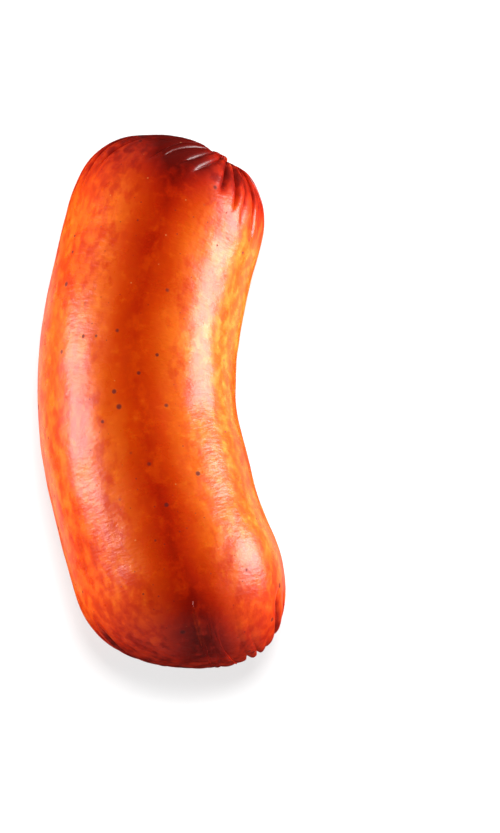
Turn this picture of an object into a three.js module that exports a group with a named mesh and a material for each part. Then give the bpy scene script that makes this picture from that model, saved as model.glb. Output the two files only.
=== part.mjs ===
// A short, thick smoked sausage in a natural casing, lying on a flat surface.
//
// It is one closed solid: the bent body, its two rounded ends, the folds of casing gathered round
// each tip, and the trimmed twist of casing that stands in the middle of the folds.
//
// Millimetres, +Z up. +Y runs along the sausage and its hollow side faces +X. The origin is on the
// surface that the sausage lies on, under the middle of its bounding box.

import * as THREE from 'three';

const degrees = THREE.MathUtils.degToRad;
const smoothstep = THREE.MathUtils.smoothstep;

// ---- Driving dimensions -------------------------------------------------------------------

// The body. Its spine is as long as the sausage, tip to tip, before the tips are drawn in.
const LENGTH = 136.4;
const LOWER_RADIUS = 25.5;
const WAIST_RADIUS = 24.8;
const UPPER_RADIUS = 24.9;
const HEIGHT_SHARE = 0.97; // a cross-section's height over its width
const PRESSED_FLAT = 0.5; // how far the sausage's weight presses its underside in

// The bend. The spine's heading swings from one side of +Y to the other, as half a wave does.
const LEAN = degrees(-2.3);
const SWING = degrees(16.8);
const SWING_RATE = 2.43; // radians of the wave over half the length
const BEND_MIDDLE = 0.03; // where the wave is centred, as a share of half the length

// The ends. `cap` is how much of the spine an end rounds off, `squareness` is the power of its
// superellipse (2 is an ellipse), and `slant` tips its face towards the hollow side. The tip is
// turned off the spine by `tipTurn`, the way `tipTowards` points: 0 is the hollow side, 90 is up.
// The creases of the hollow side are swept over towards the back by `sweep`. A crease runs between
// `shortest` and `longest` from the tip: it is shortened over the back, from a crease whose sine
// is `back[0]` to one whose sine is `back[1]`, and to its `hollowShare` on the hollow side.
const LOWER_END = {
  side: -1,
  cap: 26.7,
  squareness: 2.36,
  slant: -0.16,
  tipTurn: degrees(50),
  tipTowards: degrees(-90),
  sweep: degrees(48),
  back: [0.3, 0.75],
  foldDepth: 1.8,
  shortest: degrees(26),
  longest: degrees(82),
  hollowShare: 0.62,
  deepCreases: [26, 27],
  deepReach: degrees(68),
  seed: 41,
};
const UPPER_END = {
  side: 1,
  cap: 25.3,
  squareness: 2.8,
  slant: -0.05,
  tipTurn: degrees(29),
  tipTowards: degrees(38),
  sweep: 0,
  back: [0.5, 1.5],
  foldDepth: 1.0,
  shortest: degrees(26),
  longest: degrees(88),
  hollowShare: 1,
  deepCreases: [10],
  deepReach: degrees(40),
  seed: 8,
};

// The folds. Each crease has its own place, depth and reach round the end.
const FOLDS = 28;
const DEEP_FOLD = 2.6; // the depth of an end's deep creases
const FOLD_SHIFT = 0.55; // how far a crease strays from even spacing, in folds
const FOLD_SHARPNESS = 2.4; // the power of the groove on each side of a crease
const HELD = 0.75; // the share of a crease's reach over which it keeps its depth
const DEPTH_SPREAD = 0.5; // how much shallower and shorter a crease can be by chance, as shares
const REACH_SPREAD = 0.15;
const SWEEP_RISE = [0.2, 1]; // the angles from the tip over which the sweep grows
const SWEEP_FALL = [1.05, Math.PI / 2]; // and over which it fades out again

// The twist of casing in the middle of the folds, and the pucker that it stands in.
const TWIST_RADIUS = 2.1;
const TWIST_HEIGHT = 2.3;
const TWIST_TURN = degrees(80);
const TWIST_SIDE = [0.8, 1.3]; // where its side starts and ends, in twist radii
const WRUNG_FROM = 0.5; // where its casing starts to turn back, in twist radii
const FLUTE_DEPTH = 0.3; // of the folds in the twist, as a share of its radius
const PUCKER_RADIUS = 6;
const PUCKER_DEPTH = 2.8;
const PUCKER_NARROWNESS = 1.3; // how many times narrower its bell is than its radius

// The grid. The rows over the tip are placed in twist radii from it.
const TIP_ROWS = [0, 0.5, 0.8, 0.95, 1.15, 1.3, 1.8, 2.5, 3.5, 5];
const POINTS_PER_FOLD = 4;
const CAP_ROWS = 8; // between the pucker and the end's widest ring
const BODY_ROWS = 10;
const SPINE_STEPS = 40;

// ---- Body ---------------------------------------------------------------------------------

// The spine's direction at distance s from its middle, as an angle from +Y towards +X.
function heading(s) {
  return LEAN + SWING * Math.sin(SWING_RATE * ((2 * s) / LENGTH - BEND_MIDDLE));
}

// The spine's point at distance s from its middle: its heading, summed over short steps.
function spinePoint(s) {
  const step = s / SPINE_STEPS;
  const point = new THREE.Vector2();
  for (let i = 0; i < SPINE_STEPS; i++) {
    const angle = heading((i + 0.5) * step);
    point.x += step * Math.sin(angle);
    point.y += step * Math.cos(angle);
  }
  return point;
}

// Half the body's width at distance s: the parabola through the lower, waist and upper radii.
function bodyRadius(s) {
  const t = (2 * s) / LENGTH;
  const lower = -0.64;
  const waist = 0.1;
  const upper = 0.7;
  return (
    (LOWER_RADIUS * (t - waist) * (t - upper)) / ((lower - waist) * (lower - upper)) +
    (WAIST_RADIUS * (t - lower) * (t - upper)) / ((waist - lower) * (waist - upper)) +
    (UPPER_RADIUS * (t - lower) * (t - waist)) / ((upper - lower) * (upper - waist))
  );
}

// Carries a point of the straight sausage to its place on the bent one: s along the spine, and
// x towards the hollow side and z up as shares of the body's radius there.
function bentPoint(s, x, z) {
  const radius = bodyRadius(s);
  const spine = spinePoint(s);
  const angle = heading(s);
  return new THREE.Vector3(
    spine.x + x * radius * Math.cos(angle),
    spine.y - x * radius * Math.sin(angle),
    HEIGHT_SHARE * radius * (1 + z) - PRESSED_FLAT,
  );
}

// ---- Ends ---------------------------------------------------------------------------------

// What is added to an end's seed for each thing that is drawn by chance for its creases.
const REACH_DRAW = 20;
const DEPTH_DRAW = 40;

// A number from 0 to 1 that stays the same for the same crease and end.
function chance(index, seed) {
  const x = Math.sin(index * 12.9898 + seed * 78.233) * 43758.5453;
  return x - Math.floor(x);
}

// The outside of a rounded end. `down` is the angle from the tip, 90 degrees at the widest ring,
// and `around` turns about the spine. `sunk` draws the surface in towards the end's middle.
function endPoint(end, down, around, sunk) {
  // Directions over half a sphere, turned so that the tip lies off the spine.
  const turn = end.tipTurn * Math.cos(down) ** 2;
  let x = Math.sin(down) * Math.cos(around);
  let z = Math.sin(down) * Math.sin(around);
  const towards = x * Math.cos(end.tipTowards) + z * Math.sin(end.tipTowards);
  const turned = towards * Math.cos(turn) + Math.cos(down) * Math.sin(turn);
  x += (turned - towards) * Math.cos(end.tipTowards);
  z += (turned - towards) * Math.sin(end.tipTowards);
  const ahead = Math.max(0, Math.cos(down) * Math.cos(turn) - towards * Math.sin(turn));

  // From the sphere out to the superellipse.
  const power = end.squareness;
  const across = Math.hypot(x, z);
  const size = (across ** power + ahead ** power) ** (1 / power);
  const middle = LENGTH / 2 - end.cap;
  const radius = bodyRadius(end.side * middle);
  const scale = (1 - sunk / radius) / size;
  const slide = end.slant * radius * x * ahead * scale * scale;
  return bentPoint(end.side * (middle + end.cap * ahead * scale) + slide, x * scale, z * scale);
}

// The direction that an end's tip points, square to the rounded end.
function tipDirection(end) {
  const small = degrees(1);
  const tip = endPoint(end, 0, 0, 0);
  const first = endPoint(end, small, 0, 0).sub(tip);
  const second = endPoint(end, small, Math.PI / 2, 0).sub(tip);
  return first.cross(second).multiplyScalar(-end.side).normalize();
}

// The angle of column `column` at an end, moved so that each crease lies on a column.
function foldedAngle(end, column) {
  const fold = Math.floor(column / POINTS_PER_FOLD);
  const share = column / POINTS_PER_FOLD - fold;
  const shift = (index) => FOLD_SHIFT * (chance(index % FOLDS, end.seed) - 0.5);
  const place = fold + share + shift(fold) * (1 - share) + shift(fold + 1) * share;
  return (2 * Math.PI * place) / FOLDS;
}

// How far a crease runs from the tip.
function creaseReach(end, crease) {
  if (end.deepCreases.includes(crease)) {
    return end.deepReach;
  }
  const angle = foldedAngle(end, crease * POINTS_PER_FOLD);
  const over = smoothstep(Math.sin(angle), ...end.back);
  const hollow = 1 - (1 - end.hollowShare) * Math.max(0, Math.cos(angle));
  const spread = 1 - REACH_SPREAD * (1 - chance(crease, end.seed + REACH_DRAW));
  return (end.longest - (end.longest - end.shortest) * over) * hollow * spread;
}

// How deep one crease is at the angle `down` from the tip.
function creaseDepth(end, crease, down) {
  const spread = 1 - DEPTH_SPREAD * (1 - chance(crease, end.seed + DEPTH_DRAW));
  const depth = end.deepCreases.includes(crease) ? DEEP_FOLD : end.foldDepth * spread;
  const reach = creaseReach(end, crease);
  return depth * (1 - smoothstep(down, HELD * reach, reach));
}

// The angle of a column along its crease, which is swept over towards the back between the tip
// and the end's widest ring.
function sweptAngle(end, column, down) {
  const angle = foldedAngle(end, column);
  const swept = smoothstep(down, ...SWEEP_RISE) * (1 - smoothstep(down, ...SWEEP_FALL));
  return angle + end.sweep * Math.max(0, Math.cos(angle)) * swept;
}

// The two creases that a column lies between, and its share of each one's groove.
function groovesAt(column) {
  const fold = Math.floor(column / POINTS_PER_FOLD);
  const share = column / POINTS_PER_FOLD - fold;
  const groove = (distance) => Math.max(0, 1 - 2 * distance) ** FOLD_SHARPNESS;
  return [
    { crease: fold % FOLDS, groove: groove(share) },
    { crease: (fold + 1) % FOLDS, groove: groove(1 - share) },
  ];
}

// How far the casing is drawn in at a column: a groove on each crease, rounded between them.
// Round the tip the folds are flutes in the twist, so the grooves start beyond it.
function foldSink(end, column, down, distance) {
  const total = groovesAt(column).reduce(
    (sum, { crease, groove }) => sum + groove * creaseDepth(end, crease, down),
    0,
  );
  return total * smoothstep(distance, TWIST_RADIUS, PUCKER_RADIUS);
}

// The share by which the twist of casing is fluted at a column.
function fluteDepth(column, distance) {
  const deepest = Math.max(...groovesAt(column).map(({ groove }) => groove));
  return FLUTE_DEPTH * deepest * (1 - smoothstep(distance, TWIST_RADIUS, PUCKER_RADIUS));
}

// The height over the rounded end: a steep-sided post in a bell-shaped dip.
function tipRise(distance) {
  const post = 1 - smoothstep(distance / TWIST_RADIUS, ...TWIST_SIDE);
  const dip = Math.exp(-(((PUCKER_NARROWNESS * distance) / PUCKER_RADIUS) ** 2));
  return TWIST_HEIGHT * post - PUCKER_DEPTH * dip;
}

// The angle that the casing is wrung round the tip.
function tipTwist(distance) {
  return TWIST_TURN * (1 - smoothstep(distance, WRUNG_FROM * TWIST_RADIUS, PUCKER_RADIUS));
}

// How far the rows of an end lie from its tip, out to its widest ring.
function rowDistances(radius) {
  const near = TIP_ROWS.map((place) => place * TWIST_RADIUS);
  const rim = near.at(-1);
  const step = ((Math.PI / 2) * radius - rim) / CAP_ROWS;
  const far = Array.from({ length: CAP_ROWS }, (_, row) => rim + step * (row + 1));
  return [...near, ...far];
}

// One point of an end's casing.
function foldedPoint(end, axis, radius, distance, column) {
  const down = distance / radius;
  const fluted = down * (1 - fluteDepth(column, distance));
  const around = sweptAngle(end, column, down) + tipTwist(distance);
  const sunk = foldSink(end, column, down, distance);
  return endPoint(end, fluted, around, sunk).addScaledVector(axis, tipRise(distance));
}

// ---- Casing -------------------------------------------------------------------------------

// Every ring of the sausage, from the lower tip to the upper one, as lists of points.
function casingRings() {
  const columns = FOLDS * POINTS_PER_FOLD;
  const ring = (pointOf) => Array.from({ length: columns }, (_, column) => pointOf(column));
  const endRings = (end) => {
    const axis = tipDirection(end);
    const radius = bodyRadius(end.side * (LENGTH / 2 - end.cap));
    return rowDistances(radius).map((distance) =>
      ring((column) => foldedPoint(end, axis, radius, distance, column)),
    );
  };
  const from = LOWER_END.cap - LENGTH / 2;
  const to = LENGTH / 2 - UPPER_END.cap;
  const bodyRings = Array.from({ length: BODY_ROWS }, (_, row) => {
    const share = (row + 1) / (BODY_ROWS + 1);
    return ring((column) => {
      const low = foldedAngle(LOWER_END, column);
      const high = foldedAngle(UPPER_END, column);
      const around = low + (high - low) * share;
      return bentPoint(from + (to - from) * share, Math.cos(around), Math.sin(around));
    });
  });
  return [...endRings(LOWER_END), ...bodyRings, ...endRings(UPPER_END).reverse()];
}

// A closed surface over a stack of rings whose first and last rings are single points.
function closedSurface(rings) {
  const columns = rings[0].length;
  const inner = rings.slice(1, -1);
  const points = [rings[0][0], ...inner.flat(), rings.at(-1)[0]];
  const last = points.length - 1;
  const at = (row, column) => 1 + row * columns + (column % columns);
  const faces = [];
  for (let column = 0; column < columns; column++) {
    faces.push(0, at(0, column), at(0, column + 1));
    for (let row = 0; row < inner.length - 1; row++) {
      const [a, b] = [at(row, column), at(row, column + 1)];
      const [c, d] = [at(row + 1, column), at(row + 1, column + 1)];
      faces.push(a, c, b, b, c, d);
    }
    faces.push(at(inner.length - 1, column), last, at(inner.length - 1, column + 1));
  }
  const geometry = new THREE.BufferGeometry().setFromPoints(points);
  geometry.setIndex(faces);
  return geometry;
}

// The sausage where it lies: its underside pressed flat on the surface, its box over the origin.
function sausageGeometry() {
  const rings = casingRings();
  for (const point of rings.flat()) {
    point.z = Math.max(point.z, 0);
  }
  const geometry = closedSurface(rings);
  geometry.computeBoundingBox();
  const centre = geometry.boundingBox.getCenter(new THREE.Vector3());
  geometry.translate(-centre.x, -centre.y, 0);
  geometry.computeVertexNormals();
  return geometry;
}

// ---- Object -------------------------------------------------------------------------------

const smokedCasing = new THREE.MeshStandardMaterial({
  color: 0xd9500f,
  roughness: 0.32,
  metalness: 0,
});

const sausage = new THREE.Mesh(sausageGeometry(), smokedCasing);
sausage.name = 'sausage';

const object = new THREE.Group();
object.name = 'smoked_sausage';
object.add(sausage);

export default object;
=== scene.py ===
"""A smoked sausage in its natural casing, lying on a pale floor in soft studio light.

The casing is one closed surface over a grid. Its rows run from one tip to the other and its
columns run round the sausage. Every length is in metres, and s is the distance along the spine
from its middle.
"""

import logging
import math
from dataclasses import dataclass, field
from enum import Enum

import bpy
import numpy as np
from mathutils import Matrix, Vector


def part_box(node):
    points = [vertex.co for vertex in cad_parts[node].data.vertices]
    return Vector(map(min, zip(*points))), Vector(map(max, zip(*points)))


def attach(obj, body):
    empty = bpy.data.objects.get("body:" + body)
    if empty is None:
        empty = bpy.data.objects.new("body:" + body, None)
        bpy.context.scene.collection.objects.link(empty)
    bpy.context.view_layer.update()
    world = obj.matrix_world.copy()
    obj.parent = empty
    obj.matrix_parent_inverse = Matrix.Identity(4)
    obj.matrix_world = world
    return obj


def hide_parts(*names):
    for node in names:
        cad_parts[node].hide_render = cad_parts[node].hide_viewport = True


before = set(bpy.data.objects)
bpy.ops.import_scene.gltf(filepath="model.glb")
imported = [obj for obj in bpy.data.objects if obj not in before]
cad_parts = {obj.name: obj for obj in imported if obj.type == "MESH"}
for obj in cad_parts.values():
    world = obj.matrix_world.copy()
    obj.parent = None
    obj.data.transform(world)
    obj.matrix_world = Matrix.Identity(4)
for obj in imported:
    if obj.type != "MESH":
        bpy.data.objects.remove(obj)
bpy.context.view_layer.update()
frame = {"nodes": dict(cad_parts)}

Array = np.ndarray
Colour = tuple[float, float, float]
Place = tuple[float, float, float]
Span = tuple[float, float]
Socket = bpy.types.NodeSocket
Value = Socket | float

NODE = "sausage"
BODY = "root"
SLOT = "smoked_casing"
QUARTER_TURN = math.pi / 2
BLACK = (0.0, 0.0, 0.0)
TINY = 1e-12
log = logging.getLogger("sausage")


def smoothstep(value: Array, low: float | Array, high: float | Array) -> Array:
    """Rise smoothly from 0 at low to 1 at high: 3t² - 2t³, with t the share of the way."""
    t = np.clip((value - low) / (high - low), 0.0, 1.0)
    return t * t * (3.0 - 2.0 * t)


def chance(index: Array, seed: int, lowest: float = 0.0) -> Array:
    """Give each crease or fold a number that is always the same for it.

    It is the fractional part of 43758.5453 sin(12.9898 index + 78.233 seed), squeezed to lie
    over the lowest.

    Args:
        index: The crease or fold.
        seed: Which of its numbers to give.
        lowest: The lowest that a number can be.

    Returns:
        A number from the lowest to 1 for each index.
    """
    value = np.sin(index * 12.9898 + seed * 78.233) * 43758.5453
    return lowest + (1.0 - lowest) * (value - np.floor(value))


class Side(Enum):
    """Which end of the spine an end closes."""

    LOWER = -1
    UPPER = 1


class Draw(Enum):
    """Which of a crease's chance numbers is drawn, added to its end's seed."""

    SHIFT = 0
    REACH = 20
    DEPTH = 40
    CROWN = 60
    WANDER = 80


class Light(Enum):
    """What a softbox does: lights things from the side, or throws the shadow on the floor."""

    SIDE = "side"
    SHADOW = "shadow"


@dataclass(frozen=True)
class Body:
    """The bent body: its spine, its thickness and how flat it is pressed where it lies.

    Attributes:
        radius_places: Where its radii are, from -1 at the spine's lower end to 1 at its upper.
        lean: The heading that the spine swings about.
        swing_rate: The swing's turn over half the spine.
    """

    length: float = 0.1364
    radii: tuple[float, float, float] = (0.0255, 0.0248, 0.0249)
    radius_places: tuple[float, float, float] = (-0.64, 0.1, 0.7)
    height_share: float = 0.97
    pressed_flat: float = 0.0005
    lean: float = math.radians(-2.3)
    swing: float = math.radians(16.8)
    swing_rate: float = 2.43
    bend_middle: float = 0.03
    spine_steps: int = 2001

    def heading(self, s: Array) -> Array:
        """Give the spine's direction, from +Y towards +X: a sine wave about the lean."""
        wave = self.swing_rate * (2.0 * s / self.length - self.bend_middle)
        return self.lean + self.swing * np.sin(wave)

    def spine(self, s: Array) -> tuple[Array, Array]:
        """Give the spine's points: the sine and cosine of its heading, summed along it.

        Args:
            s: Distances along the spine.

        Returns:
            The x and the y of each point.
        """
        steps = np.linspace(-self.length, self.length, self.spine_steps)
        heading = self.heading(steps)
        stride = steps[1] - steps[0]
        places = []
        for slope in (np.sin(heading), np.cos(heading)):
            path = np.concatenate([[0.0], np.cumsum((slope[1:] + slope[:-1]) / 2.0 * stride)])
            path -= path[self.spine_steps // 2]
            places.append(np.interp(s, steps, path))
        return places[0], places[1]

    def radius(self, s: Array) -> Array:
        """Give half the body's width: the parabola through its three radii."""
        parabola = np.polyfit(self.radius_places, self.radii, 2)
        return np.polyval(parabola, 2.0 * s / self.length)

    def bent(self, s: Array, x: Array, z: Array) -> Array:
        """Carry points of the straight sausage to their places on the bent one.

        A point goes x radii from the spine towards the hollow side, square to the heading, and
        stands z radii over the spine's height.

        Args:
            s: Distances along the spine.
            x: Distances towards the hollow side, in radii.
            z: Heights over the spine, in radii.

        Returns:
            The points, with x, y and z along the last axis.
        """
        radius = self.radius(s)
        heading = self.heading(s)
        spine_x, spine_y = self.spine(s)
        height = self.height_share * radius * (1.0 + z) - self.pressed_flat
        bent_x = spine_x + x * radius * np.cos(heading)
        bent_y = spine_y - x * radius * np.sin(heading)
        return np.stack([bent_x, bent_y, height], axis=-1)


@dataclass(frozen=True)
class Folds:
    """The folds of casing gathered round a tip, each with its own place, depth and reach.

    Attributes:
        shift: How much a crease's place varies, in folds.
        sharpness: The power that a groove's depth falls off with.
        held: The share of its reach over which a crease keeps its depth.
        even_reach: The least share of its reach that chance leaves a crease.
        crown_fades: Where the folds' crowns fade, in shares of the longest reach.
        pleats: How many of each kind of fine pleat there are round the tip.
        pleats_fade: Where the pleats fade, in shares of the shortest reach.
        sweep_grows: The angles from the tip over which creases take up their sweep.
        wander_grows: The angles over which they start to wander.
        settles: The angle from which both die out.
    """

    count: int = 28
    points_per_fold: int = 14
    shift: float = 0.55
    sharpness: float = 2.4
    deep: float = 0.0026
    held: float = 0.75
    wander: float = 0.22
    wander_rate: float = 4.0
    even_reach: float = 0.85
    even_depth: float = 0.5
    crown: float = 0.00035
    crown_fades: Span = (0.25, 0.85)
    lip: float = 0.0004
    lip_place: float = 0.2
    lip_width: float = 0.12
    pleats: tuple[int, ...] = (58, 83, 109)
    pleat_depth: float = 0.00005
    pleat_twist: float = 2.0
    pleats_fade: Span = (0.5, 1.2)
    sweep_grows: Span = (0.2, 1.0)
    wander_grows: Span = (0.05, 0.4)
    settles: float = 1.05

    def places(self) -> Array:
        """Give each column's place round the tip, in folds."""
        return np.arange(self.count * self.points_per_fold) / self.points_per_fold

    def between(self, place: Array, first: Array, second: Array) -> Array:
        """Blend evenly from the value on a fold's first crease to that on its second."""
        share = place - np.floor(place)
        return first * (1.0 - share) + second * share


@dataclass(frozen=True)
class Tip:
    """The twist of casing in the middle of the folds, and the pucker that it stands in.

    Attributes:
        twist_side: Where the twist's steep side starts and ends, in twist radii.
        wrung_from: Where the wringing starts to die out, in twist radii.
        flute_depth: How deeply the folds flute the twist, as a share of the distance.
        dip_steepness: How much narrower the dip is than the pucker.
    """

    twist_radius: float = 0.0021
    twist_height: float = 0.0023
    twist_side: Span = (0.8, 1.3)
    twist_turn: float = math.radians(80)
    wrung_from: float = 0.5
    flute_depth: float = 0.3
    pucker_radius: float = 0.006
    pucker_depth: float = 0.0028
    dip_steepness: float = 1.3
    rows: int = 22
    reach: float = 0.0105

    def rise(self, distance: Array) -> Array:
        """Give the height over the rounded end: a steep-sided post in a bell-shaped dip.

        Args:
            distance: Distances from the tip over the surface.

        Returns:
            The heights.
        """
        low, high = (share * self.twist_radius for share in self.twist_side)
        post = self.twist_height * (1.0 - smoothstep(distance, low, high))
        outwards = self.dip_steepness * distance / self.pucker_radius
        return post - self.pucker_depth * np.exp(-(outwards**2))

    def turn(self, distance: Array) -> Array:
        """Give the angle that the casing is wrung round the tip, fading out over the pucker."""
        held = self.wrung_from * self.twist_radius
        return self.twist_turn * (1.0 - smoothstep(distance, held, self.pucker_radius))

    def fluting(self, distance: Array) -> Array:
        """Give how deeply the folds flute the twist, as a share of the distance."""
        share = 1.0 - smoothstep(distance, self.twist_radius, self.pucker_radius)
        return self.flute_depth * share


@dataclass(frozen=True)
class Surface:
    """A stretch of casing on the grid, tip first, with what its finish needs to know.

    Attributes:
        points: Where the casing is.
        straight: Where it would be if the sausage were straight.
        tip: How far it is from the nearer tip.
        crease: How deep in a crease it is, from 0 to 1.
    """

    points: Array
    straight: Array
    tip: Array
    crease: Array

    def reversed(self) -> "Surface":
        """Give the same stretch with its rows in the other order."""
        return Surface(*(values[::-1] for values in vars(self).values()))

    @staticmethod
    def joined(stretches: list["Surface"]) -> "Surface":
        """Join stretches end to end, in their order along the sausage."""
        columns = zip(*(vars(stretch).values() for stretch in stretches))
        return Surface(*(np.concatenate(values) for values in columns))


@dataclass(frozen=True)
class End:
    """A rounded end of the sausage, with its tip turned off the spine.

    Attributes:
        tip_turn: How far the tip is turned off the spine, in the direction tip_towards.
        sweep: How far the hollow side's creases are swept over towards the back.
        back: Between which sines of their angle creases are cut short over the back.
        shortest: A crease's reach over the back, as an angle from the tip.
        longest: Its reach at the outer side and underneath.
        hollow_share: The share of its reach that a crease on the hollow side keeps.
    """

    side: Side
    cap: float
    squareness: float
    slant: float
    tip_turn: float
    tip_towards: float
    sweep: float
    back: Span
    fold_depth: float
    shortest: float
    longest: float
    hollow_share: float
    deep_creases: tuple[int, ...]
    deep_reach: float
    seed: int
    cap_rows: int = 56

    def middle(self, body: Body) -> float:
        """Give the place along the spine where the rounding starts."""
        return self.side.value * (body.length / 2.0 - self.cap)

    def rounded(self, body: Body, down: Array, around: Array, sunk: Array) -> tuple[Array, ...]:
        """Work out the outside of the rounded end, as places along and off the spine.

        Directions over half a sphere are turned so that the tip lies off the spine, by an angle
        that falls off as the squared cosine of the angle from the tip. They are then carried out
        to a superellipse, whose power is the squareness, and the face is slanted by sliding it
        along the spine in proportion to how far it is to the side.

        Args:
            body: The body that the end closes.
            down: Angles from the tip, a quarter turn at the widest ring.
            around: Angles round the spine.
            sunk: How far the surface is drawn in towards the end's middle.

        Returns:
            The distance along the spine, and the distances to the side and up in radii.
        """
        turn = self.tip_turn * np.cos(down) ** 2
        side = np.sin(down) * np.cos(around)
        up = np.sin(down) * np.sin(around)
        towards = side * math.cos(self.tip_towards) + up * math.sin(self.tip_towards)
        turned = towards * np.cos(turn) + np.cos(down) * np.sin(turn)
        side = side + (turned - towards) * math.cos(self.tip_towards)
        up = up + (turned - towards) * math.sin(self.tip_towards)
        ahead = np.maximum(0.0, np.cos(down) * np.cos(turn) - towards * np.sin(turn))

        power = self.squareness
        size = (np.hypot(side, up) ** power + ahead**power) ** (1.0 / power)
        middle = self.middle(body)
        radius = float(body.radius(np.array(middle)))
        scale = (1.0 - sunk / radius) / size
        slide = self.slant * radius * side * ahead * scale * scale
        along = middle + self.side.value * self.cap * ahead * scale + slide
        return along, side * scale, up * scale

    def drawn(self, index: Array, draw: Draw, lowest: float = 0.0) -> Array:
        """Draw one of the chance numbers of each crease or fold, from the lowest to 1."""
        return chance(index, self.seed + draw.value, lowest)

    def tip_direction(self, body: Body) -> Array:
        """Give the direction that the tip points, square to the rounded end there.

        Args:
            body: The body that the end closes.

        Returns:
            The direction, one unit long.
        """
        down = np.radians([0.0, 1.0, 1.0])
        around = np.array([0.0, 0.0, QUARTER_TURN])
        tip, first, second = body.bent(*self.rounded(body, down, around, np.zeros(3)))
        normal = -self.side.value * np.cross(first - tip, second - tip)
        return normal / np.linalg.norm(normal)

    def column_angle(self, folds: Folds, place: Array) -> Array:
        """Give the angle of each column, moved so that every crease lies on a column.

        Args:
            folds: The folds.
            place: Places round the tip, in folds.

        Returns:
            The angles round the spine.
        """
        first, second = self.creases_beside(folds, place)
        drawn = (self.drawn(crease, Draw.SHIFT) - 0.5 for crease in (first, second))
        return 2.0 * math.pi * (place + folds.shift * folds.between(place, *drawn)) / folds.count

    @staticmethod
    def creases_beside(folds: Folds, place: Array) -> tuple[Array, Array]:
        """Give the numbers of the creases before and after each place."""
        fold = np.floor(place).astype(int)
        return fold % folds.count, (fold + 1) % folds.count

    def crease_angle(self, folds: Folds, place: Array, down: Array) -> Array:
        """Give the angle of each column along its crease, which sweeps over and wanders.

        The sweep turns the creases on the hollow side towards the back, by the cosine of their
        angle, and the wandering is a slow sine wave along each crease. Both are gone at the
        widest ring.

        Args:
            folds: The folds.
            place: Places round the tip, in folds.
            down: Angles from the tip.

        Returns:
            The angles round the spine.
        """
        around = self.column_angle(folds, place)
        leaving = 1.0 - smoothstep(down, folds.settles, QUARTER_TURN)
        sideways = np.maximum(0.0, np.cos(around))
        around = around + self.sweep * sideways * smoothstep(down, *folds.sweep_grows) * leaving
        starts = (
            2.0 * math.pi * self.drawn(crease, Draw.WANDER)
            for crease in self.creases_beside(folds, place)
        )
        waves = (np.sin(folds.wander_rate * down + start) for start in starts)
        width = 2.0 * math.pi / folds.count
        straying = folds.between(place, *waves) * smoothstep(down, *folds.wander_grows) * leaving
        return around + folds.wander * width * straying

    def crease_depth(self, folds: Folds, crease: Array, down: Array) -> Array:
        """Give a crease's depth, which holds near the tip and fades out along its reach.

        The reach is longest at the sausage's outer side and underneath. It is shorter over the
        back, where the sine of the crease's angle is high, and on the hollow side, where its
        cosine is. The deep creases have a reach of their own.

        Args:
            folds: The folds.
            crease: The creases' numbers.
            down: Angles from the tip.

        Returns:
            The depth of each crease at each angle.
        """
        deep = np.isin(crease, self.deep_creases)
        over = smoothstep(np.sin(self.column_angle(folds, crease)), *self.back)
        reach = self.longest - (self.longest - self.shortest) * over
        sideways = np.maximum(0.0, np.cos(self.column_angle(folds, crease)))
        reach = reach * (1.0 - (1.0 - self.hollow_share) * sideways)
        reach = reach * self.drawn(crease, Draw.REACH, folds.even_reach)
        reach = np.where(deep, self.deep_reach, reach)
        shallow = self.fold_depth * self.drawn(crease, Draw.DEPTH, folds.even_depth)
        depth = np.where(deep, folds.deep, shallow)
        return depth * (1.0 - smoothstep(down, folds.held * reach, reach))

    def folding(self, folds: Folds, place: Array, down: Array) -> tuple[Array, Array]:
        """Work out how far the casing is drawn in by its folds.

        Each crease is a groove whose depth falls off as a power of the distance from it, with a
        bell-shaped lip on one side. Between creases a fold is crowned as a parabola is, and fine
        pleats, a sum of three sines round the tip, lie close to it.

        Args:
            folds: The folds.
            place: Places round the tip, in folds.
            down: Angles from the tip.

        Returns:
            How far the casing is drawn in, and how deep in a crease it is, from 0 to 1.
        """
        share = place - np.floor(place)
        first, second = self.creases_beside(folds, place)
        sunk = np.zeros(np.broadcast_shapes(place.shape, down.shape))
        crease = np.zeros_like(sunk)
        for number, distance in ((first, share), (second, 1.0 - share)):
            depth = self.crease_depth(folds, number, down)
            groove = np.maximum(0.0, 1.0 - 2.0 * distance) ** folds.sharpness
            sunk += depth * groove
            crease += depth / folds.deep * groove
        lip = np.exp(-(((share - folds.lip_place) / folds.lip_width) ** 2))
        sunk -= folds.lip * lip * self.crease_depth(folds, first, down) / folds.deep
        crown = folds.crown * self.drawn(first, Draw.CROWN) * 4.0 * share * (1.0 - share)
        sunk -= crown * (1.0 - smoothstep(down / self.longest, *folds.crown_fades))
        fading = 1.0 - smoothstep(down / self.shortest, *folds.pleats_fade)
        for number, pleats in enumerate(folds.pleats):
            turns = 2.0 * math.pi * (pleats * place / folds.count + chance(number, self.seed))
            twist = (folds.pleat_twist + number) * down
            sunk += folds.pleat_depth * fading * np.sin(turns + twist)
        return sunk, np.clip(crease, 0.0, 1.0)

    def surface(self, body: Body, folds: Folds, tip: Tip) -> Surface:
        """Work out the end's casing, from its tip to its widest ring.

        Rows lie at even steps over the tip and at even steps beyond it. The folds draw the
        casing in outside the tip and flute the twist inside it. The tip's post and dip are
        raised along the tip's direction.

        Args:
            body: The body that the end closes.
            folds: The folds round the tip.
            tip: The twist and its pucker.

        Returns:
            The end's casing.
        """
        radius = float(body.radius(np.array(self.middle(body))))
        near = np.linspace(0.0, tip.reach, tip.rows, endpoint=False)
        far = np.linspace(tip.reach, QUARTER_TURN * radius, self.cap_rows)
        distance = np.concatenate([near, far])[:, None]
        place = folds.places()[None, :]
        down = distance / radius

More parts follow.
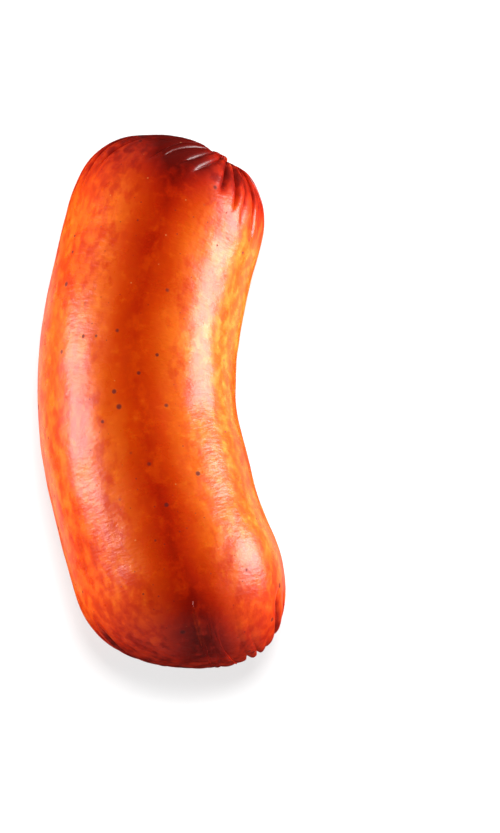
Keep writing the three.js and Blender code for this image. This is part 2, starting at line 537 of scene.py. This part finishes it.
        sunk, crease = self.folding(folds, place, down)
        share = place - np.floor(place)
        flute = tip.fluting(distance) * np.abs(2.0 * share - 1.0) ** folds.sharpness
        outside = smoothstep(distance, tip.twist_radius, tip.pucker_radius)
        around = self.crease_angle(folds, place, down) + tip.turn(distance)
        along, side, up = self.rounded(body, down * (1.0 - flute), around, sunk * outside)
        rise = tip.rise(distance)[..., None] * self.tip_direction(body)
        points = body.bent(along, side, up) + rise
        straight = np.stack([side * radius, along, up * radius], axis=-1)
        return Surface(points, straight, np.broadcast_to(distance, crease.shape), crease)


@dataclass(frozen=True)
class Lumps:
    """The soft unevenness of a filled casing: plane waves in every direction, added up."""

    longest: float
    shortest: float
    height: float
    waves: int
    seed: int

    def at(self, points: Array) -> Array:
        """Give the height of the lumps.

        Each wave is a sine along its own random direction, with a length drawn evenly between
        the shortest and the longest, and they share the height so that their spread is the same
        for any number of waves.

        Args:
            points: Where to work it out.

        Returns:
            The height at each point.
        """
        random = np.random.default_rng(self.seed)
        directions = random.normal(size=(self.waves, 3))
        directions /= np.linalg.norm(directions, axis=1, keepdims=True)
        lengths = random.uniform(self.shortest, self.longest, self.waves)
        phases = random.uniform(0.0, 2.0 * math.pi, self.waves)
        turns = points @ (2.0 * math.pi * directions / lengths[:, None]).T + phases
        return self.height * math.sqrt(2.0 / self.waves) * np.sin(turns).sum(axis=-1)


@dataclass
class Sausage:
    """The sausage: its casing, worked out over a grid, and the finish on it."""

    body: Body = field(default_factory=Body)
    folds: Folds = field(default_factory=Folds)
    tip: Tip = field(default_factory=Tip)
    lower: End = End(
        side=Side.LOWER,
        cap=0.0267,
        squareness=2.36,
        slant=-0.16,
        tip_turn=math.radians(50),
        tip_towards=math.radians(-90),
        sweep=math.radians(48),
        back=(0.3, 0.75),
        fold_depth=0.0018,
        shortest=math.radians(26),
        longest=math.radians(82),
        hollow_share=0.62,
        deep_creases=(26, 27),
        deep_reach=math.radians(68),
        seed=41,
    )
    upper: End = End(
        side=Side.UPPER,
        cap=0.0253,
        squareness=2.8,
        slant=-0.05,
        tip_turn=math.radians(29),
        tip_towards=math.radians(38),
        sweep=0.0,
        back=(0.5, 1.5),
        fold_depth=0.001,
        shortest=math.radians(26),
        longest=math.radians(88),
        hollow_share=1.0,
        deep_creases=(10,),
        deep_reach=math.radians(40),
        seed=8,
    )
    body_rows: int = 90
    lumps: tuple[Lumps, ...] = (
        Lumps(longest=0.034, shortest=0.018, height=0.00015, waves=14, seed=5),
        Lumps(longest=0.010, shortest=0.005, height=0.00003, waves=40, seed=6),
    )

    def body_surface(self) -> Surface:
        """Work out the casing between the ends.

        Its rows are even steps along the spine, and its columns turn evenly from the angles of
        the lower end's columns to those of the upper end's.

        Returns:
            The body's casing.
        """
        low, high = self.lower.middle(self.body), self.upper.middle(self.body)
        share = np.linspace(0.0, 1.0, self.body_rows + 2)[1:-1, None]
        place = self.folds.places()[None, :]
        first = self.lower.column_angle(self.folds, place)
        second = self.upper.column_angle(self.folds, place)
        around = first + (second - first) * share
        along = np.broadcast_to(low + (high - low) * share, around.shape)
        points = self.body.bent(along, np.cos(around), np.sin(around))
        radius = self.body.radius(along)
        straight = np.stack([radius * np.cos(around), along, radius * np.sin(around)], axis=-1)
        tip = QUARTER_TURN * radius + np.minimum(along - low, high - along)
        return Surface(points, straight, tip, np.zeros_like(tip))

    def surface(self) -> Surface:
        """Work out the whole casing, uneven and pressed flat where it lies.

        The lumps move each point along the normal, which is the cross product of the steps to
        the next row and the next column. Nothing goes below the floor.

        Returns:
            The casing, from the lower tip to the upper one.
        """
        lower = self.lower.surface(self.body, self.folds, self.tip)
        upper = self.upper.surface(self.body, self.folds, self.tip).reversed()
        casing = Surface.joined([lower, self.body_surface(), upper])
        points = casing.points
        rows = np.gradient(points, axis=0)
        columns = np.roll(points, -1, axis=1) - np.roll(points, 1, axis=1)
        normals = np.cross(columns, rows)
        normals /= np.maximum(np.linalg.norm(normals, axis=-1, keepdims=True), TINY)
        height = sum(lumps.at(casing.straight) for lumps in self.lumps)
        points = points + normals * height[..., None]
        points[..., 2] = np.maximum(points[..., 2], 0.0)
        return Surface(self.placed(points), casing.straight, casing.tip, casing.crease)

    @staticmethod
    def placed(points: Array) -> Array:
        """Move points sideways so that their box stands over the middle of the CAD node's box.

        Args:
            points: The points.

        Returns:
            The moved points.
        """
        low, high = (np.array(corner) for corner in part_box(NODE))
        flat = points.reshape(-1, 3)
        shift = (low + high) / 2.0 - (flat.min(axis=0) + flat.max(axis=0)) / 2.0
        shift[2] = low[2]
        return points + shift

    @staticmethod
    def triangles(rows: int, columns: int) -> Array:
        """Join a grid into triangles, closed round its columns and at its first and last rows.

        The first and last rows are single points. Each cell between two rings is two triangles,
        and a fan of triangles closes each end.

        Args:
            rows: How many rows the grid has, the two single points included.
            columns: How many points a ring has.

        Returns:
            The triangles' corners, faces out.
        """
        ring = np.arange(columns)
        following = (ring + 1) % columns
        starts = 1 + np.arange(rows - 3)[:, None] * columns
        a, b = starts + ring, starts + following
        c, d = a + columns, b + columns
        cells = np.stack([a, c, b, b, c, d], axis=-1).reshape(-1, 3)
        last_ring = 1 + (rows - 3) * columns
        last = last_ring + columns
        lower = np.stack([np.zeros_like(ring), 1 + ring, 1 + following], axis=-1)
        upper = np.stack([last_ring + ring, np.full_like(ring, last), last_ring + following], -1)
        return np.concatenate([lower, cells, upper])

    @staticmethod
    def per_point(grid: Array) -> Array:
        """List a grid's values once for each point, its first and last rows once in all."""
        inner = grid[1:-1].reshape(-1, *grid.shape[2:])
        return np.concatenate([grid[:1, 0], inner, grid[-1:, 0]])

    def build(self) -> bpy.types.Object:
        """Make the sausage's object, with the values that its finish reads on its points.

        Returns:
            The object.
        """
        casing = self.surface()
        rows, columns = casing.tip.shape
        points = self.per_point(casing.points)
        triangles = self.triangles(rows, columns)
        mesh = bpy.data.meshes.new("smoked_sausage")
        mesh.vertices.add(len(points))
        mesh.vertices.foreach_set("co", points.ravel())
        mesh.loops.add(triangles.size)
        mesh.loops.foreach_set("vertex_index", triangles.ravel())
        mesh.polygons.add(len(triangles))
        mesh.polygons.foreach_set("loop_start", np.arange(0, triangles.size, 3))
        mesh.polygons.foreach_set("use_smooth", np.ones(len(triangles), dtype=bool))
        mesh.update(calc_edges=True)
        for name, values in (("tip", casing.tip), ("crease", casing.crease)):
            layer = mesh.attributes.new(name, "FLOAT", "POINT")
            layer.data.foreach_set("value", self.per_point(values))
        layer = mesh.attributes.new("straight", "FLOAT_VECTOR", "POINT")
        layer.data.foreach_set("vector", self.per_point(casing.straight).ravel())
        mesh.materials.append(SmokedCasing().material())
        piece = bpy.data.objects.new("smoked_sausage", mesh)
        bpy.context.collection.objects.link(piece)
        log.info("%s: %d points, %d triangles", piece.name, len(points), len(triangles))
        return piece


class NodeTree:
    """A shader node tree, with short ways to add and join its nodes."""

    def __init__(self, tree: bpy.types.NodeTree) -> None:
        """Empty the tree, ready for new nodes."""
        self.tree = tree
        tree.nodes.clear()

    def add(
        self, kind: str, inputs: dict[str | int, object] | None = None, **settings: object
    ) -> bpy.types.Node:
        """Add a node.

        Args:
            kind: The node's type.
            inputs: For each input by name or number, a value or the output that feeds it.
            **settings: The node's own properties.

        Returns:
            The node.
        """
        node = self.tree.nodes.new(kind)
        for name, value in settings.items():
            setattr(node, name, value)
        for name, value in (inputs or {}).items():
            if isinstance(value, Socket):
                self.tree.links.new(value, node.inputs[name])
            else:
                node.inputs[name].default_value = value
        return node

    def math(self, operation: str, *values: Value) -> Socket:
        """Add a Math node and give its output."""
        node = self.add("ShaderNodeMath", dict(enumerate(values)), operation=operation)
        return node.outputs[0]

    def ramp(self, value: Value, low: float, high: float) -> Socket:
        """Rise smoothly from 0 where the value is low to 1 where it is high."""
        node = self.add(
            "ShaderNodeMapRange",
            {"Value": value, "From Min": low, "From Max": high},
            interpolation_type="SMOOTHSTEP",
        )
        return node.outputs["Result"]

    def mix(self, share: Value, first: Socket | Colour, second: Socket | Colour) -> Socket:
        """Mix two colours.

        Args:
            share: The second colour's share, from 0 to 1.
            first: The first colour.
            second: The second colour.

        Returns:
            The mixed colour.
        """
        node = self.add("ShaderNodeMix", data_type="RGBA")
        for name, value in (("Factor", share), ("A", first), ("B", second)):
            kind = "VALUE" if name == "Factor" else "RGBA"
            socket = next(s for s in node.inputs if s.name == name and s.type == kind)
            if isinstance(value, Socket):
                self.tree.links.new(value, socket)
            else:
                socket.default_value = value if kind == "VALUE" else (*value, 1.0)
        return next(s for s in node.outputs if s.type == "RGBA")

    def centred(self, value: Value, spread: float, middle: float) -> Socket:
        """Spread a value from 0 to 1 evenly about a middle."""
        return self.math("MULTIPLY_ADD", value, spread, middle - spread / 2.0)

    def attribute(self, name: str) -> bpy.types.Node:
        """Read one of the values stored on the piece's points."""
        return self.add("ShaderNodeAttribute", attribute_name=name)


@dataclass(frozen=True)
class Noise:
    """Cloudy noise, from 0 to 1.

    Attributes:
        fineness: How many clouds a metre it has along each coordinate.
        detail: How many finer layers it has.
        roughness: How strong the finer layers are.
    """

    fineness: Place
    detail: float = 2.0
    roughness: float = 0.5

    def at(self, nodes: NodeTree, place: Socket) -> Socket:
        """Lay the noise over the casing.

        Args:
            nodes: The material's nodes.
            place: The coordinates to lay it on.

        Returns:
            The noise.
        """
        mapping = nodes.add("ShaderNodeMapping", {"Vector": place, "Scale": self.fineness})
        inputs = {"Vector": mapping.outputs["Vector"], "Scale": 1.0}
        inputs |= {"Detail": self.detail, "Roughness": self.roughness}
        return nodes.add("ShaderNodeTexNoise", inputs).outputs["Fac"]


@dataclass(frozen=True)
class Speckle:
    """Spots scattered over the casing, each a ball's section at a random place.

    Attributes:
        spacing: The usual distance between their places.
        radius: The largest spot's radius.
        share: How many of the places have a spot.
        strength: How much of its colour a spot takes.
        smallest: The smallest spot's radius, as a share of the largest's.
        soft_from: Where a spot starts to fade, as a share of its radius.
    """

    spacing: float
    radius: float
    share: float
    strength: float
    colour: Colour
    smallest: float = 0.4
    soft_from: float = 0.45

    def spots(self, nodes: NodeTree, place: Socket) -> Socket:
        """Work out where the spots are.

        Args:
            nodes: The material's nodes.
            place: The coordinates to scatter them on.

        Returns:
            How much of the spots' colour shows, from 0 to 1.
        """
        cells = nodes.add("ShaderNodeTexVoronoi", {"Vector": place, "Scale": 1.0 / self.spacing})
        pick = nodes.add("ShaderNodeSeparateColor", {0: cells.outputs["Color"]})
        chosen = nodes.math("LESS_THAN", pick.outputs["Red"], self.share)
        growth = 1.0 - self.smallest
        size = nodes.math("MULTIPLY_ADD", pick.outputs["Green"], growth, self.smallest)
        reach = nodes.math("MULTIPLY", size, self.radius / self.spacing)
        near = nodes.math("DIVIDE", cells.outputs["Distance"], reach)
        spot = nodes.math("SUBTRACT", 1.0, nodes.ramp(near, self.soft_from, 1.0))
        return nodes.math("MULTIPLY", nodes.math("MULTIPLY", spot, chosen), self.strength)


@dataclass(frozen=True)
class SmokeAndShade:
    """How much smoke and painted shade darken each part of the casing, from 0 to 1 in all.

    Along the back and round the tips the darkening is part smoke and part painted shade, in the
    creases it is painted shade, and the hollow side is painted lighter, as if lit by a softbox.

    Attributes:
        clouds: More or less from one small cloud to the next.
        patches: More or less from one broad patch to the next.
        flecks: On the fine flecks of fat.
        stripe: Along the back, part smoke and part painted shade.
        ends: Round each tip, part smoke and part painted shade.
        hollow: On the hollow side, taken off: painted light, as that side faces the right
            softbox.
        crease: In the creases: painted shade.
        stripe_width: How far the stripe reaches to each side of its middle.
        stripe_place: How far its middle lies to the hollow side.
        stripe_fraying: How far the small clouds move its edge.
        back_height: How far over the spine the stripe is in full.
        dark_end: The distances from a tip over which the smoke and painted shade there fade out.
        end_fraying: How far the broad patches move that.
        hollow_side: The distances to the side over which the painted light there comes in.
        cloud_cut: The noise that makes no cloud, and a full one.
    """

    even: float = 0.42
    clouds: float = 0.24
    patches: float = 0.40
    flecks: float = -0.12
    stripe: float = 0.32
    ends: float = 0.54
    hollow: float = -0.14
    crease: float = 0.45
    stripe_width: float = 0.010
    stripe_place: float = 0.0008
    stripe_sway: float = 0.006
    stripe_fraying: float = 0.006
    back_height: float = 0.015
    dark_end: Span = (0.012, 0.042)
    end_fraying: float = 0.020
    hollow_side: Span = (-0.024, 0.024)
    sway_noise: Noise = Noise((0.0, 32.0, 0.0), detail=1.0)
    cloud_noise: Noise = Noise((420.0, 260.0, 420.0), detail=3.0, roughness=0.55)
    cloud_cut: Span = (0.3, 0.7)
    fleck_noise: Noise = Noise((330.0, 420.0, 330.0), detail=3.0, roughness=0.6)
    fleck_cut: Span = (0.5, 0.8)

    def along_back(self, nodes: NodeTree, straight: Socket, clouds: Socket) -> Socket:
        """Work out the stripe along the back, which sways and is frayed by the clouds.

        It is part smoke and part painted shade: the top is darker, as if less lit than the sides.

        Args:
            nodes: The material's nodes.
            straight: Coordinates on the straight sausage.
            clouds: The small clouds.

        Returns:
            The stripe, from 0 to 1.
        """
        parts = nodes.add("ShaderNodeSeparateXYZ", {0: straight})
        sway = self.sway_noise.at(nodes, straight)
        middle = nodes.centred(sway, self.stripe_sway, self.stripe_place)
        sideways = nodes.math("ABSOLUTE", nodes.math("SUBTRACT", parts.outputs["X"], middle))
        frayed = nodes.math("ADD", sideways, nodes.centred(clouds, self.stripe_fraying, 0.0))
        line = nodes.math("SUBTRACT", 1.0, nodes.ramp(frayed, 0.0, self.stripe_width))
        return nodes.math("MULTIPLY", line, nodes.ramp(parts.outputs["Z"], 0.0, self.back_height))

    def at_ends(self, nodes: NodeTree, patches: Socket) -> Socket:
        """Work out the dark ends, whose edges are ragged where the broad patches are.

        The darkness is part smoke and part painted shade.

        Args:
            nodes: The material's nodes.
            patches: The broad patches.

        Returns:
            How near to a tip it is, from 0 to 1.
        """
        tip = nodes.attribute("tip").outputs["Fac"]
        ragged = nodes.math("ADD", tip, nodes.centred(patches, self.end_fraying, 0.0))
        return nodes.math("SUBTRACT", 1.0, nodes.ramp(ragged, *self.dark_end))

    def settled(self, nodes: NodeTree, straight: Socket, ends: Socket, patches: Socket) -> Socket:
        """Add up the smoke, the painted shade and the painted light.

        Args:
            nodes: The material's nodes.
            straight: Coordinates on the straight sausage.
            ends: The dark ends, part smoke and part painted shade.
            patches: The broad patches.

        Returns:
            The smoke with the painted shade, less the painted light, from 0 to 1.
        """
        clouds = nodes.ramp(self.cloud_noise.at(nodes, straight), *self.cloud_cut)
        flecks = nodes.ramp(self.fleck_noise.at(nodes, straight), *self.fleck_cut)
        sideways = nodes.add("ShaderNodeSeparateXYZ", {0: straight}).outputs["X"]
        # Painted light: the hollow side, which faces the right softbox, gets less smoke and looks
        # lit.
        hollow = nodes.ramp(sideways, *self.hollow_side)
        # Painted shade, in part: the stripe darkens the top, which the side softboxes light less.
        stripe = self.along_back(nodes, straight, clouds)
        # Painted shade: the creases are darkened.
        crease = nodes.attribute("crease").outputs["Fac"]

        total = nodes.centred(clouds, self.clouds, self.even)
        total = nodes.math("ADD", total, nodes.centred(patches, self.patches, 0.0))
        parts = (flecks, stripe, ends, hollow, crease)
        shares = (self.flecks, self.stripe, self.ends, self.hollow, self.crease)
        for part, share in zip(parts, shares):
            total = nodes.math("MULTIPLY_ADD", part, share, total)
        return total


@dataclass(frozen=True)
class SmokedCasing:
    """The glossy smoked casing: its colour deepens with smoke and with painted shade.

    The shade is painted along the back, round the tips and in the creases, and the hollow side is
    painted lighter.

    Attributes:
        roughness: The least roughness, to which patches, ends and specks add theirs.
        grain_share: The grain's height, as a share of the ripples'.
    """

    # The colours for each amount of smoke and painted shade, from bare orange to dark red.
    smoke_and_shade_colours: tuple[tuple[float, Colour], ...] = (
        (0.00, (1.00, 0.40, 0.050)),
        (0.25, (0.97, 0.16, 0.006)),
        (0.50, (0.76, 0.056, 0.0005)),
        (0.70, (0.58, 0.020, 0.0005)),
        (0.85, (0.36, 0.007, 0.0004)),
        (1.00, (0.17, 0.003, 0.0003)),
    )
    # Smoke with painted shade and painted light, added up.
    smoke: SmokeAndShade = field(default_factory=SmokeAndShade)
    dark_specks: tuple[Speckle, ...] = (
        Speckle(0.0019, 0.00030, 0.60, 0.65, (0.24, 0.006, 0.0005)),
        Speckle(0.0050, 0.00090, 0.55, 0.85, (0.14, 0.003, 0.0005)),
    )
    fat: Speckle = Speckle(0.0026, 0.00030, 0.25, 0.40, (1.00, 0.48, 0.16))
    ripple_height: float = 0.00008
    roughness: float = 0.24
    patchy_roughness: float = 0.08
    end_roughness: float = 0.05
    speck_roughness: float = 0.4
    grain_share: float = 0.35
    broad_noise: Noise = Noise((60.0, 45.0, 60.0))
    roughness_noise: Noise = Noise((220.0, 220.0, 220.0))
    ripple_noise: Noise = Noise((500.0, 1100.0, 500.0))
    grain_noise: Noise = Noise((900.0, 900.0, 900.0))

    def relief(self, nodes: NodeTree, straight: Socket) -> Socket:
        """Work out the fine relief: ripples that run round the sausage, over a fine grain.

        Args:
            nodes: The material's nodes.
            straight: Coordinates on the straight sausage.

        Returns:
            The bent normal.
        """
        ripples = self.ripple_noise.at(nodes, straight)
        grain = self.grain_noise.at(nodes, straight)
        height = nodes.math("MULTIPLY_ADD", grain, self.grain_share, ripples)
        bump = nodes.add(
            "ShaderNodeBump", {"Strength": 1.0, "Distance": self.ripple_height, "Height": height}
        )
        return bump.outputs["Normal"]

    def smoked(self, nodes: NodeTree, smoke: Socket) -> Socket:
        """Give the colour of the smoked casing, its painted shade and painted light included.

        Args:
            nodes: The material's nodes.
            smoke: How much smoke has settled, with the painted shade and painted light.

        Returns:
            The colour.
        """
        ramp = nodes.add("ShaderNodeValToRGB", {"Fac": smoke})
        stops = ramp.color_ramp.elements
        while len(stops) < len(self.smoke_and_shade_colours):
            stops.new(0.5)
        for stop, (position, colour) in zip(stops, self.smoke_and_shade_colours):
            stop.position = position
            stop.color = (*colour, 1.0)
        return ramp.outputs["Color"]

    def material(self) -> bpy.types.Material:
        """Make the casing's material, whose patterns lie on the straight sausage.

        Returns:
            The material.
        """
        material = bpy.data.materials.new(SLOT)
        material.use_nodes = True
        nodes = NodeTree(material.node_tree)
        straight = nodes.attribute("straight").outputs["Vector"]
        broad = self.broad_noise.at(nodes, straight)
        # The dark ends are part smoke and part painted shade; the total also holds painted shade
        # and light.
        ends = self.smoke.at_ends(nodes, broad)
        colour = self.smoked(nodes, self.smoke.settled(nodes, straight, ends, broad))
        colour = nodes.mix(self.fat.spots(nodes, straight), colour, self.fat.colour)
        patches = self.roughness_noise.at(nodes, straight)
        roughness = nodes.math("MULTIPLY_ADD", patches, self.patchy_roughness, self.roughness)
        roughness = nodes.math("MULTIPLY_ADD", ends, self.end_roughness, roughness)
        for speckle in self.dark_specks:
            spots = speckle.spots(nodes, straight)
            colour = nodes.mix(spots, colour, speckle.colour)
            roughness = nodes.math("MULTIPLY_ADD", spots, self.speck_roughness, roughness)
        shader = nodes.add(
            "ShaderNodeBsdfPrincipled",
            {
                "Base Color": colour,
                "Roughness": roughness,
                "IOR": 1.45,
                "Specular IOR Level": 0.38,
                "Subsurface Weight": 0.15,
                "Subsurface Radius": (1.0, 0.30, 0.10),
                "Subsurface Scale": 0.0015,
                "Normal": self.relief(nodes, straight),
            },
        )
        nodes.add("ShaderNodeOutputMaterial", {"Surface": shader.outputs["BSDF"]})
        return material


@dataclass(frozen=True)
class Softbox:
    """A softbox: a flat glowing panel, turned to face the sausage."""

    name: str
    place: Place
    width: float
    height: float
    power: float
    light: Light

    def build(self, target: Place, floor: bpy.types.Object) -> None:
        """Hang the softbox.

        Args:
            target: The point that it faces.
            floor: The only thing lit by the softbox that throws the shadow.
        """
        panel = bpy.data.lights.new(self.name, "AREA")
        panel.shape = "RECTANGLE"
        panel.size = self.width
        panel.size_y = self.height
        panel.energy = self.power
        panel.use_shadow = self.light is Light.SHADOW
        lamp = bpy.data.objects.new(self.name, panel)
        lamp.location = self.place
        facing = Vector(target) - Vector(self.place)
        lamp.rotation_euler = facing.to_track_quat("-Z", "Y").to_euler()
        lamp.visible_camera = False
        if self.light is Light.SHADOW:
            receivers = bpy.data.collections.new(self.name)
            receivers.objects.link(floor)
            lamp.light_linking.receiver_collection = receivers
        bpy.context.collection.objects.link(lamp)


@dataclass(frozen=True)
class Studio:
    """The pale floor, the soft light and the camera.

    Attributes:
        mirrored_glow: The bright band on each side of the floor that only reflections show.
        mirrored_from: Over which distances to the side the band comes in.
        mirrored_to: Over which it fades, to the share mirrored_beyond.
        mirrored_along: Over which distances along the floor it fades out.
        sky_height: How high the sky's glow reaches, as the sine of the angle over the floor.
        sky_mirrored: How much of that glow reflections show.
    """

    target: Place = (0.0222, -0.0045, 0.024)
    camera_rise: float = math.radians(78)
    camera_distance: float = 0.7
    view_width: float = 0.125
    sensor: float = 0.036
    floor_radius: float = 6.0
    floor_drop: float = 0.0001
    floor_colour: Colour = (0.25, 0.25, 0.25)
    floor_glow: Colour = (0.56, 0.56, 0.56)
    mirrored_glow: Colour = (0.70, 0.70, 0.70)
    mirrored_from: Span = (0.035, 0.045)
    mirrored_to: Span = (0.055, 0.085)
    mirrored_along: Span = (0.035, 0.06)
    mirrored_beyond: float = 0.05
    floor_corners: int = 64
    sky_height: float = 0.9
    sky_mirrored: float = 0.02
    softboxes: tuple[Softbox, ...] = (
        Softbox("right", (0.30, 0.055, 0.105), 0.135, 0.17, 1.35, Light.SIDE),
        Softbox("left", (-0.30, 0.03, 0.14), 0.15, 0.16, 1.1, Light.SIDE),
        Softbox("overhead", (0.045, 0.04, 0.52), 0.15, 0.15, 5.0, Light.SHADOW),
    )

    def camera(self) -> None:
        """Set up the camera: it looks down at the sausage, square to its length."""
        data = bpy.data.cameras.new("camera")
        data.sensor_fit = "HORIZONTAL"
        data.sensor_width = self.sensor * 1000.0
        data.lens = data.sensor_width * self.camera_distance / self.view_width
        camera = bpy.data.objects.new("camera", data)
        back = self.camera_distance * math.cos(self.camera_rise)
        up = self.camera_distance * math.sin(self.camera_rise)
        camera.location = Vector(self.target) + Vector((0.0, -back, up))
        camera.rotation_euler = (QUARTER_TURN - self.camera_rise, 0.0, 0.0)
        bpy.context.collection.objects.link(camera)
        bpy.context.scene.camera = camera

    def floor(self) -> bpy.types.Object:
        """Lay the floor: a wide disc that glows faintly, so that it stays pale all over.

        In reflections it is dark but for a bright band to each side of the sausage.

        Returns:
            The floor.
        """
        corners = self.floor_corners
        angles = np.linspace(0.0, 2.0 * math.pi, corners, endpoint=False)
        circle = self.floor_radius * np.stack([np.cos(angles), np.sin(angles)], axis=-1)
        points = np.column_stack([circle, np.full(corners, -self.floor_drop)])
        mesh = bpy.data.meshes.new("floor")
        mesh.from_pydata(points.tolist(), [], [list(range(corners))])
        material = bpy.data.materials.new("pale_floor")
        material.use_nodes = True
        nodes = NodeTree(material.node_tree)
        mirrored = nodes.add("ShaderNodeLightPath").outputs["Is Glossy Ray"]
        place = nodes.add("ShaderNodeTexCoord").outputs["Object"]
        parts = nodes.add("ShaderNodeSeparateXYZ", {0: place})
        distance = nodes.math("ABSOLUTE", parts.outputs["X"])
        along = nodes.math("ABSOLUTE", parts.outputs["Y"])
        fading = nodes.ramp(distance, *self.mirrored_to)
        near = nodes.math("MULTIPLY_ADD", fading, self.mirrored_beyond - 1.0, 1.0)
        beside = nodes.math("MULTIPLY", nodes.ramp(distance, *self.mirrored_from), near)
        past_ends = nodes.ramp(along, *self.mirrored_along)
        beside = nodes.math("MULTIPLY", beside, nodes.math("SUBTRACT", 1.0, past_ends))
        reflected = nodes.mix(beside, BLACK, self.mirrored_glow)
        shader = nodes.add(
            "ShaderNodeBsdfPrincipled",
            {
                "Base Color": nodes.mix(mirrored, self.floor_colour, BLACK),
                "Roughness": 0.9,
                "Specular IOR Level": 0.0,
                "Emission Color": nodes.mix(mirrored, self.floor_glow, reflected),
                "Emission Strength": 1.0,
            },
        )
        nodes.add("ShaderNodeOutputMaterial", {"Surface": shader.outputs["BSDF"]})
        mesh.materials.append(material)
        floor = bpy.data.objects.new("floor", mesh)
        bpy.context.collection.objects.link(floor)
        return floor

    def sky(self) -> None:
        """Set the surroundings: white to the camera, a soft glow that fades upwards to the rest.

        Reflections show next to nothing of it, so that the softboxes alone make the highlights.
        """
        world = bpy.data.worlds.new("studio")
        bpy.context.scene.world = world
        world.use_nodes = True
        nodes = NodeTree(world.node_tree)
        place = nodes.add("ShaderNodeTexCoord").outputs["Generated"]
        height = nodes.add("ShaderNodeSeparateXYZ", {0: place}).outputs["Z"]
        glow = nodes.math("SUBTRACT", 1.0, nodes.ramp(height, 0.0, self.sky_height))
        ray = nodes.add("ShaderNodeLightPath")
        glossy = ray.outputs["Is Glossy Ray"]
        shown = nodes.math("MULTIPLY_ADD", glossy, self.sky_mirrored - 1.0, 1.0)
        lighting = nodes.math("MULTIPLY", glow, shown)
        strength = nodes.math("MAXIMUM", lighting, ray.outputs["Is Camera Ray"])
        inputs = {"Color": (1.0, 1.0, 1.0, 1.0), "Strength": strength}
        background = nodes.add("ShaderNodeBackground", inputs)
        nodes.add("ShaderNodeOutputWorld", {"Surface": background.outputs["Background"]})

    def build(self) -> None:
        """Set up the whole studio."""
        self.camera()
        self.sky()
        floor = self.floor()
        for softbox in self.softboxes:
            softbox.build((0.0, 0.0, self.target[2]), floor)
        bpy.context.scene.view_settings.view_transform = "Standard"


def main() -> None:
    """Build the sausage and the studio."""
    logging.basicConfig(level=logging.INFO, format="%(name)s: %(message)s")
    log.info("around the CAD nodes %s", ", ".join(frame["nodes"]))
    Studio().build()
    piece = Sausage().build()
    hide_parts(NODE)
    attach(piece, BODY)


if __name__ == "__main__":
    main()
